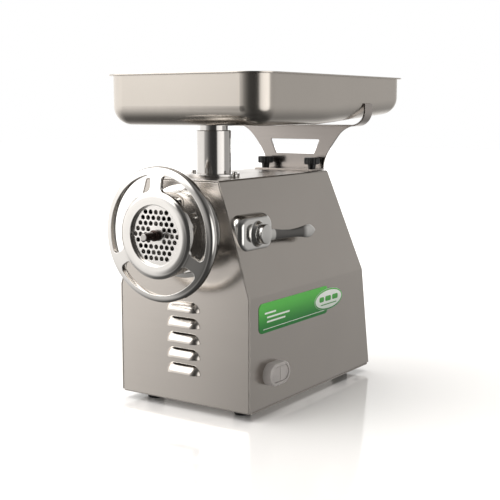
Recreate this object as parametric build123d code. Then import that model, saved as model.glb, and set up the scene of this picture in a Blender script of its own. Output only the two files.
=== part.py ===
from build123d import *
import os
from math import acos, atan2, cos, degrees, pi, radians, sin, sqrt, tan

# Electric meat grinder, millimetres. +Z is up and the feet stand on Z = 0.
# The front, where the minced meat comes out, faces -Y. X = 0 is the plane of the worm and the tray.

# ---- driving dimensions ----
FRONT = -178.0            # Y of the front panel's outer face
BASE = 14.0               # height of the housing's lower edge above the floor
WIDTH = 240.0             # housing width below the bends
DEPTH = 365.0             # housing depth at its lower edge
TOP_DEPTH = 307.0         # housing depth at the top, so the rear leans forward
BEND = BASE + 167.5       # height of the bends between the sides and the slopes
TOP = BASE + 332.5        # height of the housing's top
TOP_HALF = 67.0           # half width of the flat top
BEND_R = 4.0              # outer radius of the bends
SHEET = 2.0               # sheet thickness of the housing
SEAM = 0.8                # gap between neighbouring panels
RUN = 0.05                # radial running clearance of a shaft or sleeve

WORM_Z = BASE + 256.3     # height of the worm's axis
BORE_R = 46.0             # worm chamber
PLATE_R = 49.2            # hole plate
PLATE_T = 10.0
HOLE_R = 3.5              # holes for the meat, on a triangular grid
HOLE_PITCH = 9.5
NUT_R = 57.1              # ring nut
THREAD_R = 53.5           # threaded end of the head
WHEEL_R = 97.7            # handwheel
NECK_Y = 79.8             # feed tube's distance behind the front panel
TUBE_R = 25.8             # feed tube
SPOUT_R = 21.1            # tray spout
TRAY_HALF = 142.5         # tray body half width
TRAY_FRONT = -6.3         # tray body's front and rear, behind the front panel
TRAY_REAR = 437.5
TRAY_Z = BASE + 410.0     # tray's flat bottom
RIM_Z = BASE + 485.0      # top of the rim
RIM_FLANGE = 6.6
TRAY_SHEET = 1.5
TRAY_CORNER = 36.0        # corner radius in plan
TRAY_FILLET = 28.0        # radius between the sides and the bottom
TRAY_RISE = 0.065         # slope of the bottom behind mid length

STAGE_1 = 80.0            # centre distances of the two gear stages
STAGE_2 = 81.25
INTER_Z = WORM_Z - STAGE_2
MOTOR_Z = INTER_Z - STAGE_1
PINION_TEETH, GEAR_TEETH, MODULE_1 = 20, 60, 2.0
PINION_2_TEETH, GEAR_2_TEETH, MODULE_2 = 17, 48, 2.5

LATCH_Y = 48.0            # latch axis, behind the front panel
LATCH_Z = BASE + 255.0
SWITCH_Y = 60.0           # middle of the double push switch, behind the front panel
SWITCH_Z = BASE + 49.0
BRACKET_Y = 313.0         # bracket plate's front face, behind the front panel
KNOB_X = 46.0
KNOB_Y = 293.0


# ---- helpers ----
def fy(distance):
    """Y of a point that lies this far behind the front panel's outer face."""
    return FRONT + distance


def front_plane(y):
    """Sketch plane seen from the front: local X is +X, local Y is +Z, the normal is -Y."""
    return Plane(origin=(0, y, 0), x_dir=(1, 0, 0), z_dir=(0, -1, 0))


def side_plane(x):
    """Sketch plane seen from the right: local X is +Y, local Y is +Z, the normal is +X."""
    return Plane(origin=(x, 0, 0), x_dir=(0, 1, 0), z_dir=(1, 0, 0))


def prism_y(sketch, y0, y1):
    return extrude(front_plane(y1) * sketch, amount=y1 - y0)


def prism_x(sketch, x0, x1):
    return extrude(side_plane(x0) * sketch, amount=x1 - x0)


def prism_z(sketch, z0, z1):
    return extrude(Pos(0, 0, z0) * sketch, amount=z1 - z0)


def rod_y(radius, y0, y1, x=0.0, z=WORM_Z):
    return Pos(x, (y0 + y1) / 2, z) * Rot(90, 0, 0) * Cylinder(radius, y1 - y0)


def rod_x(radius, x0, x1, y, z):
    return Pos((x0 + x1) / 2, y, z) * Rot(0, 90, 0) * Cylinder(radius, x1 - x0)


def rod_z(radius, z0, z1, x=0.0, y=0.0):
    return Pos(x, y, (z0 + z1) / 2) * Cylinder(radius, z1 - z0)


def ring_y(outer, inner, y0, y1, x=0.0, z=WORM_Z):
    return rod_y(outer, y0, y1, x, z) - rod_y(inner, y0 - 1, y1 + 1, x, z)


def ring_z(outer, inner, z0, z1, x=0.0, y=0.0):
    return rod_z(outer, z0, z1, x, y) - rod_z(inner, z0 - 1, z1 + 1, x, y)


def block(x0, x1, y0, y1, z0, z1):
    return Pos((x0 + x1) / 2, (y0 + y1) / 2, (z0 + z1) / 2) * Box(x1 - x0, y1 - y0, z1 - z0)


def turned_y(points, z=WORM_Z):
    """Solid turned about the Y direction at height z, from (distance behind the front, radius)."""
    outline = Polyline(*[(radius, distance) for distance, radius in points], close=True)
    profile = make_face(outline)
    return Pos(0, FRONT, z) * revolve(profile, Axis.Y)


def polygon(points):
    return make_face(Polyline(*points, close=True))


def write(name, shape):
    """Writes one node; identical pieces go in one node as separate solids."""
    solids = shape if isinstance(shape, list) else [shape]
    parts = [piece for solid in solids for piece in solid.solids()]
    export_step(parts[0] if len(parts) == 1 else Compound(children=parts), f"parts/{name}.step")


# ---- housing ----
def housing_outline():
    """Front view of the housing: upright sides, slopes and a flat top, with bent corners."""
    half = WIDTH / 2
    right = [(half, BASE), (half, BEND), (TOP_HALF, TOP)]
    left = [(-x, z) for x, z in reversed(right)]
    face = polygon(right + left)
    bends = [corner for corner in face.vertices() if corner.Y > BASE + 1]
    return fillet(bends, BEND_R)


def inner_outline(inset):
    """The housing's outline moved inwards, and open through the lower edge."""
    half = WIDTH / 2 - inset
    face = offset(housing_outline(), amount=-inset, kind=Kind.INTERSECTION)
    return face + Pos(0, BASE) * Rectangle(2 * half, 2 * inset + 20)


def side_profile(forward=0.0, front=0.0):
    """Side view of the housing, with the rear plane moved forward and the front edge moved back."""
    lean = (DEPTH - TOP_DEPTH) / (TOP - BASE)
    low, high = BASE - 20, TOP + 20
    rear_low = fy(DEPTH - forward + 20 * lean)
    rear_high = fy(TOP_DEPTH - forward - 20 * lean)
    return polygon([(fy(front), low), (rear_low, low), (rear_high, high), (fy(front), high)])


def housing_solid(inset, forward, front=0.0):
    """Space inside the housing, inset from the sheet and cut by the rear plane."""
    profile = prism_x(side_profile(forward, front), -WIDTH, WIDTH)
    return prism_y(inner_outline(inset), fy(-1), fy(DEPTH + 1)) & profile


def stadium_x(length, height, x0, x1, y, z):
    return prism_x(Pos(y, z) * SlotOverall(length, height), x0, x1)


NECK_HOLE = TUBE_R + 0.7
STUD_R = 3.0
above_floor = block(-WIDTH, WIDTH, FRONT - 5, FRONT + DEPTH + 5, BASE, TOP + 30)

full = prism_y(housing_outline(), fy(0), fy(DEPTH + 1)) & prism_x(side_profile(), -WIDTH, WIDTH)
hollow = prism_y(inner_outline(SHEET), fy(-1), fy(DEPTH + 2))
shell = full - hollow
rear_frame = (housing_solid(SHEET, SHEET + 0.1) - housing_solid(SHEET, 2 * SHEET + 0.1)) & above_floor
rear_frame -= prism_y(inner_outline(SHEET + 12), fy(-1), fy(DEPTH + 2))
floor_lips = (housing_solid(SHEET, 4 * SHEET, 2 * SHEET) & above_floor) & block(
    -WIDTH, WIDTH, FRONT, FRONT + DEPTH, BASE, BASE + SHEET)
floor_lips -= block(-WIDTH / 2 + 18, WIDTH / 2 - 18, FRONT - 1, FRONT + DEPTH + 9, BASE - 1, BASE + 5)
shell = shell + rear_frame + floor_lips
shell -= rod_z(NECK_HOLE, TOP - 6, TOP + 6, 0, fy(NECK_Y))
for side in (-1, 1):
    shell -= rod_z(STUD_R + 0.2, TOP - 6, TOP + 6, side * KNOB_X, fy(KNOB_Y))
    wall = side * (WIDTH - SHEET) / 2
    shell -= block(wall - SHEET / 2, wall + SHEET / 2, FRONT - 1, FRONT + DEPTH + 1, BASE - 1, BASE + SEAM)
shell -= stadium_x(46, 26, WIDTH / 2 - 6, WIDTH / 2 + 6, fy(SWITCH_Y), SWITCH_Z)
shell -= rod_x(11, 60, 120, fy(LATCH_Y), LATCH_Z)

LOUVRE_W, LOUVRE_R, LOUVRE_SINK = 65.0, 16.6, 8.0
LOUVRE_END = 15.0         # length of a louvre's rounded end
LOUVRE_PITCH = 23.6
LOUVRE_LOW = BASE + 43.0
LOUVRE_SHEET = 1.4
LOUVRES = 5


def louvre_body(shrink):
    """A pressed hood: part of a turned capsule whose axis lies behind the panel, level with the lip."""
    half, radius, end = LOUVRE_W / 2 - shrink, LOUVRE_R - shrink, LOUVRE_END
    outline = Rectangle(2 * (half - end), 2 * radius)
    for side in (-1, 1):
        outline += Pos(side * (half - end), 0) * Ellipse(end, radius)
    profile = outline & Pos(0, radius / 2) * Rectangle(LOUVRE_W, radius)
    capsule = Pos(0, LOUVRE_SINK, 0) * revolve(profile, Axis.X)
    return capsule & block(-LOUVRE_W, LOUVRE_W, -LOUVRE_R, SHEET - 0.5, 0, LOUVRE_R)


def louvres():
    hollow = louvre_body(LOUVRE_SHEET)
    hood = (louvre_body(0) & block(-LOUVRE_W, LOUVRE_W, -LOUVRE_R, 0, 0, LOUVRE_R)) - hollow
    opening = prism_y(Pos(0, 4.0) * RectangleRounded(LOUVRE_W - 6, 8.0, 3.0), -1.0, SHEET + 1)
    hoods, openings = [], []
    for index in range(LOUVRES):
        place = Pos(0, FRONT, LOUVRE_LOW + index * LOUVRE_PITCH)
        hoods.append(place * hood)
        openings.append(place * opening)
    return hoods, openings


front_panel = prism_y(inner_outline(SHEET + SEAM), fy(0), fy(SHEET)) & above_floor
front_panel -= rod_y(NUT_R + 1.0, fy(-5), fy(5))
hoods, openings = louvres()
for hood, opening in zip(hoods, openings):
    front_panel = front_panel - opening + hood

rear_panel = (housing_solid(SHEET + SEAM, 0) - housing_solid(SHEET - 1, SHEET)) & above_floor
lean_deg = degrees(atan2(DEPTH - TOP_DEPTH, TOP - BASE))


def on_rear(height, x=0.0):
    """Place on the rear panel's outer face: local -Y points out of it, local Z goes up along it."""
    y = fy(DEPTH - (height - BASE) * tan(radians(lean_deg)))
    return Pos(x, y, height) * Rot(lean_deg, 0, 0) * Rot(0, 0, 180)


for row in range(7):
    for side in (-1, 1):
        slot = Rot(90, 0, 0) * extrude(SlotOverall(52, 5), amount=20, both=True)
        rear_panel -= on_rear(BASE + 96 + row * 14, side * 34) * slot
GLAND_X, GLAND_Z = -70.0, BASE + 44.0
rear_panel -= on_rear(GLAND_Z, GLAND_X) * Rot(90, 0, 0) * Cylinder(8.2, 20)

SMALL_SCREW = (3.8, 2.4, 1.95, 6.0)
REAR_SCREWS = [(side * x, z) for x, z in ((111, BASE + 24), (111, BEND - 18), (56, TOP - 12)) for side in (-1, 1)]


def pan_screw(head_r, head_h, shank_r, shank_l):
    """Pan head screw, head on local +Z, with a cross recess."""
    head = Pos(0, 0, head_h / 2) * Cylinder(head_r, head_h)
    head = fillet(head.faces().sort_by(Axis.Z)[-1].edges(), head_h * 0.45)
    slot = Box(head_r * 1.2, head_r * 0.28, head_h) + Box(head_r * 0.28, head_r * 1.2, head_h)
    head -= Pos(0, 0, head_h * 1.05) * slot
    return head + Pos(0, 0, -shank_l / 2) * Cylinder(shank_r, shank_l)


housing_screws = []
for x, z in REAR_SCREWS:
    hole = on_rear(z, x) * Rot(90, 0, 0) * Cylinder(2.0, 14)
    rear_panel -= hole
    shell -= hole
    housing_screws.append(on_rear(z, x) * Rot(90, 0, 0) * pan_screw(*SMALL_SCREW))

base_plate = block(-WIDTH / 2, WIDTH / 2, FRONT + SHEET, FRONT + DEPTH - 3, BASE - SHEET, BASE)
base_plate = fillet(base_plate.edges().filter_by(Axis.Z), 3)
for column in range(-3, 4):
    vent = Rot(0, 0, 90) * extrude(SlotOverall(90, 6), amount=6, both=True)
    base_plate -= Pos(column * 18, fy(180), BASE) * vent

FOOT_X, FOOT_Y, FOOT_R = 82.5, 35.0, 13.5
feet, foot_screws = [], []
for x in (-FOOT_X, FOOT_X):
    for y in (fy(FOOT_Y), fy(DEPTH - FOOT_Y)):
        foot = Pos(x, y, 0) * (Pos(0, 0, (BASE - SHEET) / 2) * Cone(FOOT_R - 1.5, FOOT_R, BASE - SHEET))
        foot = fillet(foot.edges().group_by(Axis.Z)[0], 1.5)
        foot -= rod_z(7, -1, 5, x, y)
        foot -= rod_z(2.6, -1, BASE, x, y)
        feet.append(foot)
        base_plate -= rod_z(2.6, BASE - 4, BASE + 4, x, y)
        screw = Pos(x, y, 5) * Rot(180, 0, 0) * pan_screw(5, 3, 2.5, 18)
        nut = Pos(x, y, BASE) * extrude(RegularPolygon(4.6, 6), amount=4) - rod_z(2.5, 0, BASE + 9, x, y)
        foot_screws += [screw, nut]
for x in (-WIDTH / 2 + 10, WIDTH / 2 - 10):
    for y in (fy(24), fy(DEPTH / 2), fy(DEPTH - 24)):
        hole = rod_z(2.0, BASE - 4, BASE + 4, x, y)
        base_plate -= hole
        shell -= hole
        housing_screws.append(Pos(x, y, BASE - SHEET) * Rot(180, 0, 0) * pan_screw(*SMALL_SCREW))

front_flange = turned_y([(-2.0, 68.5), (0, 68.5), (0, NUT_R + 0.3), (-6, NUT_R + 0.3), (-6, 60.5), (-4.6, 61.5)])

NECK_RING_R, NECK_RING_T = 39.0, 5.0
neck_ring = rod_z(NECK_RING_R, TOP, TOP + NECK_RING_T)
for side in (-1, 1):
    neck_ring += rod_z(5.2, TOP, TOP + NECK_RING_T, side * (NECK_RING_R - 0.6))
neck_ring = fillet(neck_ring.faces().sort_by(Axis.Z)[-1].edges(), 1.0)
neck_ring -= rod_z(TUBE_R + RUN, TOP - 1, TOP + 9)
neck_ring = Pos(0, fy(NECK_Y), 0) * neck_ring
neck_screws = []
for side in (-1, 1):
    hole = rod_z(2.0, TOP - 4, TOP + 9, side * (NECK_RING_R - 0.6), fy(NECK_Y))
    neck_ring -= hole
    shell -= hole
    place = Pos(side * (NECK_RING_R - 0.6), fy(NECK_Y), TOP + NECK_RING_T)
    neck_screws.append(place * pan_screw(3.9, 3.2, 1.95, 8))

# ---- grinding head ----
PLATE_FRONT = -60.0
PLATE_BACK = PLATE_FRONT + PLATE_T
KNIFE_BACK = PLATE_BACK + 12
HEAD_END = 150.0
SOCKET_TOP, SOCKET_SEAT = TOP - 6.0, TOP - 26.0

COLLAR_R = 20.0           # worm collar and its hole in the end of the head
head = turned_y([
    (-57, THREAD_R), (-31, THREAD_R), (-29, NUT_R), (HEAD_END, NUT_R), (HEAD_END, 38), (HEAD_END + 14, 38),
    (HEAD_END + 14, 22), (HEAD_END, 22), (HEAD_END, COLLAR_R + RUN), (HEAD_END - 15, COLLAR_R + RUN),
    (HEAD_END - 15, BORE_R), (KNIFE_BACK, BORE_R), (KNIFE_BACK, PLATE_R + 0.15), (-57, PLATE_R + 0.15)])
neck = rod_z(TUBE_R + 6, WORM_Z + 30, SOCKET_TOP, 0, fy(NECK_Y))
neck -= rod_y(BORE_R + 4, fy(0), fy(HEAD_END))
head = head + neck
head -= rod_z(TUBE_R + RUN, SOCKET_SEAT, TOP, 0, fy(NECK_Y))
head -= rod_z(SPOUT_R, WORM_Z, TOP, 0, fy(NECK_Y))
LATCH_PIN_R = 8.0
head -= rod_x(LATCH_PIN_R + RUN, 51, 70, fy(LATCH_Y), LATCH_Z)
KEY_R = 3.0
head -= rod_y(KEY_R, fy(-58), fy(PLATE_BACK + 2), 0, WORM_Z - PLATE_R)

hole_plate = rod_y(PLATE_R, fy(PLATE_FRONT), fy(PLATE_BACK))
hole_plate = chamfer(hole_plate.edges(), 0.8)
for row in range(-4, 5):
    count = 9 - abs(row)
    for index in range(count):
        x = (index - (count - 1) / 2) * HOLE_PITCH
        z = row * HOLE_PITCH * sqrt(3) / 2
        if x * x + z * z > (1.2 * HOLE_PITCH) ** 2:
            hole_plate -= rod_y(HOLE_R, fy(PLATE_FRONT - 1), fy(PLATE_BACK + 1), x, WORM_Z + z)
SPIGOT_R = 7.0
hole_plate -= rod_y(SPIGOT_R + RUN, fy(PLATE_FRONT - 1), fy(PLATE_BACK + 1))
hole_plate -= rod_y(KEY_R, fy(PLATE_FRONT - 1), fy(PLATE_BACK + 1), 0, WORM_Z - PLATE_R)
plate_key = rod_y(KEY_R, fy(-56.5), fy(PLATE_BACK + 1.5), 0, WORM_Z - PLATE_R)

SQUARE = 20.0
knife = rod_y(15, fy(PLATE_BACK + 0.2), fy(KNIFE_BACK - 0.5))
for quarter in range(4):
    blade_outline = polygon([(-5, 0), (9, 0), (11, 30), (7, 45), (-7, 45), (-3, 26)])
    blade = prism_y(Rot(0, 0, 90 * quarter) * blade_outline, fy(PLATE_BACK + 0.2), fy(KNIFE_BACK - 2))
    knife += Pos(0, 0, WORM_Z) * blade
knife -= Pos(0, fy(PLATE_BACK + 6), WORM_Z) * Box(SQUARE + 0.1, 30, SQUARE + 0.1)

WORM_BACK = HEAD_END - 16.0
worm = turned_y([
    (KNIFE_BACK, 17), (KNIFE_BACK + 2, 17), (WORM_BACK - 12, 27), (WORM_BACK, 27), (WORM_BACK, COLLAR_R),
    (HEAD_END + 2, COLLAR_R), (HEAD_END + 2, 0), (KNIFE_BACK, 0)])
knife_square = Box(SQUARE, KNIFE_BACK - PLATE_BACK - 1, SQUARE)
worm += Pos(0, fy((PLATE_BACK + KNIFE_BACK) / 2 + 0.5), WORM_Z) * knife_square
FLIGHT_PITCH, FLIGHT_TURNS = 42.0, 3.4
FLIGHT_START = KNIFE_BACK + 7


def flight():
    """The worm's screw thread, a slim trapezium swept along a helix."""
    mid_r, outer_r = 16.0, BORE_R - 0.6
    path = Helix(pitch=FLIGHT_PITCH, height=FLIGHT_PITCH * FLIGHT_TURNS, radius=mid_r)
    section = Plane(origin=path @ 0, x_dir=(1, 0, 0), z_dir=path % 0) * polygon(
        [(-3, -5), (outer_r - mid_r, -2.2), (outer_r - mid_r, 2.2), (-3, 5)])
    thread = sweep(section, path=path, is_frenet=True)
    return Pos(0, fy(FLIGHT_START), WORM_Z) * Rot(-90, 0, 0) * thread


worm = worm + flight()
worm -= Pos(0, fy(HEAD_END - 8), WORM_Z) * Box(SQUARE + 0.2, 28, SQUARE + 0.2)
STUD_SCREW_R = 6.0
worm -= rod_y(STUD_SCREW_R, fy(PLATE_BACK - 1), fy(KNIFE_BACK + 8))
TIP = -88.0
worm_stud = turned_y([
    (TIP, 0), (TIP, 4.6), (TIP + 1.2, 5.8), (-66.5, 5.8), (-66, 8), (PLATE_FRONT - 0.8, 8),
    (PLATE_FRONT - 0.8, SPIGOT_R), (PLATE_BACK + 0.4, SPIGOT_R), (PLATE_BACK + 0.4, STUD_SCREW_R),
    (KNIFE_BACK + 6, STUD_SCREW_R), (KNIFE_BACK + 6, 0)])
thrust_washer = ring_y(26, COLLAR_R, fy(WORM_BACK), fy(WORM_BACK + 0.9))

NUT_LIP, NUT_OPENING, NUT_BACK = -65.2, 43.5, -30.0
ring_nut = turned_y([
    (NUT_LIP, NUT_OPENING), (NUT_LIP + 0.6, NUT_R - 3), (NUT_LIP + 3.2, NUT_R), (-47, NUT_R),
    (-45, 61), (NUT_BACK - 3, 61), (NUT_BACK - 2, 60), (NUT_BACK - 2, THREAD_R + RUN),
    (PLATE_FRONT, THREAD_R + RUN), (PLATE_FRONT, NUT_OPENING)])
for index in range(6):
    notch = rod_y(6, fy(-44), fy(NUT_BACK + 1), 0, 64)
    ring_nut -= Pos(0, 0, WORM_Z) * Rot(0, 60 * index, 0) * notch

RIM_MID, RIM_HALF_W, RIM_HALF_T = WHEEL_R - 5.5, 5.5, 7.3
RIM_Y = -50.4
SPOKES = 3


def handwheel_shape():
    """Rounded rim on a web with three arc windows, so three spokes are left."""
    rim_section = Pos(RIM_MID, RIM_Y) * Ellipse(RIM_HALF_W, RIM_HALF_T)
    rim = Pos(0, FRONT, WORM_Z) * revolve(rim_section, Axis.Y)
    inner, outer, spoke = NUT_R + 3.5, RIM_MID - RIM_HALF_W + 0.6, 19.0
    windows = Circle(outer) - Circle(inner)
    for index in range(SPOKES):
        windows -= Rot(0, 0, 90 + 120 * index) * Pos(WHEEL_R / 2, 0) * Rectangle(WHEEL_R, spoke)
    windows = fillet(windows.vertices(), 7)
    web = Circle(RIM_MID) - Circle(NUT_R - 0.5) - windows
    return Pos(0, 0, WORM_Z) * prism_y(web, fy(-58), fy(-51.5)) + rim


handwheel = handwheel_shape() - rod_y(NUT_R, fy(-80), fy(0))
feed_tube = ring_z(TUBE_R, SPOUT_R + RUN, SOCKET_SEAT + 0.2, BASE + 402.0, 0, fy(NECK_Y))
feed_tube = chamfer(feed_tube.faces().sort_by(Axis.Z)[-1].edges(), 0.8)


# ---- tray ----
def tray_side(inset):
    """Side view of the pan: its underside is flat to mid length and then rises gently to the rear."""
    low, top, bend_at, soften = TRAY_Z + inset, RIM_Z + 1, 186.0, 18.0
    start, end = fy(TRAY_FRONT - 20), fy(TRAY_REAR + 40)
    bend_start, bend_end = fy(bend_at - soften), fy(bend_at + soften)
    bend_high = low + TRAY_RISE * soften
    end_high = bend_high + TRAY_RISE * (end - bend_end)
    return make_face([
        Line((start, top), (start, low)), Line((start, low), (bend_start, low)),
        TangentArc((bend_start, low), (bend_end, bend_high), tangent=(1, 0)),
        Line((bend_end, bend_high), (end, end_high)), Line((end, end_high), (end, top)),
        Line((end, top), (start, top))])


def tray_body(inset):
    """Deep pan with rounded corners, shrunk by inset on every side."""
    half, front, rear = TRAY_HALF - inset, TRAY_FRONT + inset, TRAY_REAR - inset
    plan = Pos(0, fy((front + rear) / 2)) * RectangleRounded(2 * half, rear - front, TRAY_CORNER - inset)
    body = prism_z(plan, TRAY_Z - 5, RIM_Z + (1 if inset else 0))
    body &= prism_x(tray_side(inset), -TRAY_HALF - 10, TRAY_HALF + 10)

    def around_the_bottom(edge):
        middle = edge.center()
        across = abs(middle.X) < 1 and fy(front + 60) < middle.Y < fy(rear - 60)
        return middle.Z < TRAY_Z + 25 and not across

    return fillet([edge for edge in body.edges() if around_the_bottom(edge)], TRAY_FILLET - inset)


tray_cavity = tray_body(TRAY_SHEET)
rim_outline = Pos(0, fy((TRAY_FRONT + TRAY_REAR) / 2)) * RectangleRounded(
    2 * (TRAY_HALF + RIM_FLANGE), TRAY_REAR - TRAY_FRONT + 2 * RIM_FLANGE, TRAY_CORNER + RIM_FLANGE)
tray = (tray_body(0) + prism_z(rim_outline, RIM_Z - 2.0, RIM_Z)) - tray_cavity
tray -= rod_z(SPOUT_R, TRAY_Z - 5, TRAY_Z + 5, 0, fy(NECK_Y))
SPOUT_LENGTH = 62.0
tray_spout = ring_z(SPOUT_R, SPOUT_R - 1.5, TRAY_Z - SPOUT_LENGTH, TRAY_Z + TRAY_SHEET, 0, fy(NECK_Y))

BRACKET_T = 2.5
STRIP_Z = BASE + 405.5
STRIP_DEPTH = 22.0


def bracket_plate():
    """Upright plate that flares out towards its top, with one window."""
    top, low = STRIP_Z + 1, TOP
    right = Spline((56, low), (58.5, BASE + 350), (77.4, BASE + 381), (112, top), tangents=[(0, 1), (1, 0.28)])
    left = Spline((-112, top), (-77.4, BASE + 381), (-58.5, BASE + 350), (-56, low), tangents=[(1, -0.28), (0, -1)])
    outline = make_face([right, Line((112, top), (-112, top)), left, Line((-56, low), (56, low))])
    window = polygon([(-38, BASE + 358.7), (38, BASE + 358.7), (49, BASE + 383.2), (-49, BASE + 383.2)])
    window = fillet(window.vertices(), 2)
    return prism_y(outline - window, fy(BRACKET_Y), fy(BRACKET_Y + BRACKET_T))


def bracket_strip():
    """Cross strip under the tray whose ends curl up against the tray's sides."""
    reach, radius, up = TRAY_HALF + 0.05 + BRACKET_T, 25.0, BASE + 442.0
    path = Line((0, STRIP_Z), (reach - radius, STRIP_Z))
    arc = RadiusArc((reach - radius, STRIP_Z), (reach, STRIP_Z + radius), -radius)
    rise = Line((reach, STRIP_Z + radius), (reach, up))
    top = Line((reach, up), (reach - BRACKET_T, up))
    drop = Line((reach - BRACKET_T, up), (reach - BRACKET_T, STRIP_Z + radius))
    inner_end = (reach - radius, STRIP_Z + BRACKET_T)
    inner = RadiusArc((reach - BRACKET_T, STRIP_Z + radius), inner_end, radius - BRACKET_T)
    back = Line(inner_end, (0, STRIP_Z + BRACKET_T))
    close = Line((0, STRIP_Z + BRACKET_T), (0, STRIP_Z))
    half = make_face([path, arc, rise, top, drop, inner, back, close])
    right = prism_y(half, fy(BRACKET_Y - STRIP_DEPTH), fy(BRACKET_Y + BRACKET_T))
    return right + mirror(right, Plane.YZ)


foot_strip = block(-56, 56, fy(BRACKET_Y - 38), fy(BRACKET_Y + BRACKET_T), TOP, TOP + BRACKET_T)
bracket = bracket_plate() + bracket_strip() + foot_strip
knobs, knob_screws = [], []
KNOB_LOW = TOP + BRACKET_T
KNOB_STEM, KNOB_HEAD, KNOB_R, KNOB_GROOVES = 7.5, 11.0, 13.0, 10
for side in (-1, 1):
    x, y = side * KNOB_X, fy(KNOB_Y)
    bracket -= rod_z(STUD_R + RUN, TOP - 5, TOP + 9, x, y)
    knob = rod_z(KNOB_R, KNOB_LOW + KNOB_STEM, KNOB_LOW + KNOB_STEM + KNOB_HEAD)
    knob = fillet(knob.edges(), 1.5)
    for index in range(KNOB_GROOVES):
        groove = rod_z(2.2, KNOB_LOW, KNOB_LOW + 2 * KNOB_HEAD, KNOB_R + 1.1, 0)
        knob -= Rot(0, 0, 360 / KNOB_GROOVES * index) * groove
    knob += Pos(0, 0, KNOB_LOW + KNOB_STEM / 2 + 0.05) * Cone(6.0, 7.0, KNOB_STEM)
    knob = Pos(x, y, 0) * knob
    knob -= rod_z(STUD_R, TOP, KNOB_LOW + 14, x, y)
    knobs.append(knob)
    knob_screws.append(rod_z(STUD_R, TOP - 9, KNOB_LOW + 14, x, y))

# ---- latch on the right slope ----
ly = fy(LATCH_Y)
tier_1 = prism_x(Pos(ly, LATCH_Z) * RectangleRounded(86, 56, 16), 60, 94)
tier_2 = extrude(side_plane(94) * (Pos(ly, LATCH_Z) * RectangleRounded(82, 52, 15)), amount=8, taper=24)
boss = Pos(105, ly, LATCH_Z) * Rot(0, 90, 0) * Cone(18, 12.5, 6.4)
latch_block = tier_1 + tier_2 + boss
latch_block -= prism_y(housing_outline(), fy(-10), fy(200))
latch_block -= rod_x(LATCH_PIN_R + RUN, 50, 130, ly, LATCH_Z)
latch_shaft = rod_x(LATCH_PIN_R, 54, 104, ly, LATCH_Z)
latch_shaft -= Pos(60, ly, LATCH_Z - LATCH_PIN_R) * Box(13, 30, 6)
HUB_IN, HUB_OUT = 108.6, 117.6


def lever_shape():
    """Round hub and a waisted arm that ends in a flat thumb paddle, pointing to the rear."""
    top = Spline((5, 8.6), (30, 4.5), (67, 0.3), (92, 0.6), (123, 3.2), (134, 0.2), (139, -6.5))
    low = Spline((139, -6.5), (133, -14.5), (120, -18.0), (90, -13.5), (67, -12.0), (30, -11.0), (5, -11.6))
    arm_face = make_face([top, low, Line((5, -11.6), (5, 8.6))])
    arm = Pos(0, ly, LATCH_Z) * prism_x(arm_face, HUB_IN + 0.4, HUB_OUT - 1.5)
    arm = fillet(arm.edges().filter_by(GeomType.BSPLINE), 2.6)
    hub = rod_x(14.4, HUB_IN, HUB_OUT, ly, LATCH_Z)
    hub = fillet(hub.edges(), 1.2)
    return hub + arm


latch_lever = lever_shape() - rod_x(5, HUB_IN - 1, HUB_OUT - 3, ly, LATCH_Z)
latch_shaft += rod_x(5, 103, HUB_OUT - 3, ly, LATCH_Z)

# ---- double push switch on the right side ----
SIDE_X = WIDTH / 2
BEZEL_W, BEZEL_H, BEZEL_OUT = 54.0, 33.0, 14.0
BEZEL_RECESS = 4.5        # rim between the bezel's outline and its recess
sy = fy(SWITCH_Y)
bezel = stadium_x(BEZEL_W, BEZEL_H, SIDE_X, SIDE_X + BEZEL_OUT, sy, SWITCH_Z)
bezel = fillet(bezel.faces().sort_by(Axis.X)[-1].edges(), 1.8)
bezel += stadium_x(45, 25, SIDE_X - 12, SIDE_X + 1, sy, SWITCH_Z)
recess_w, recess_h = BEZEL_W - 2 * BEZEL_RECESS, BEZEL_H - 2 * BEZEL_RECESS
bezel -= stadium_x(recess_w, recess_h, SIDE_X + 0.5, SIDE_X + 20, sy, SWITCH_Z)
bezel -= stadium_x(36, 16, SIDE_X - 20, SIDE_X + 1, sy, SWITCH_Z)


def push_button(side):
    """Half-moon button and its plunger; side is -1 for the front one and 1 for the rear one."""
    cap = stadium_x(recess_w - 0.8, recess_h - 0.8, SIDE_X + 4.5, SIDE_X + BEZEL_OUT - 0.8, sy, SWITCH_Z)
    keep = block(0, 300, sy + 0.4, sy + 40, 0, 200)
    if side < 0:
        keep = block(0, 300, sy - 40, sy - 0.4, 0, 200)
    cap = fillet((cap & keep).faces().sort_by(Axis.X)[-1].edges(), 1.0)
    return cap + rod_x(4.5, SIDE_X - 16, SIDE_X + 5, sy + side * 9, SWITCH_Z)


start_button, stop_button = push_button(-1), push_button(1)
switch_body = block(SIDE_X - 38, SIDE_X - 12, sy - 24, sy + 24, SWITCH_Z - 15, SWITCH_Z + 15)
for side in (-1, 1):
    switch_body -= rod_x(6.0, SIDE_X - 30, SIDE_X, sy + side * 9, SWITCH_Z)

# ---- label ----
label_plate = prism_x(Pos(fy(121), BASE + 134) * RectangleRounded(198, 44, 9), SIDE_X, SIDE_X + 0.6)
label_badge = prism_x(Pos(fy(222), BASE + 134) * Ellipse(44, 17), SIDE_X + 0.6, SIDE_X + 1.1)


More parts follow.
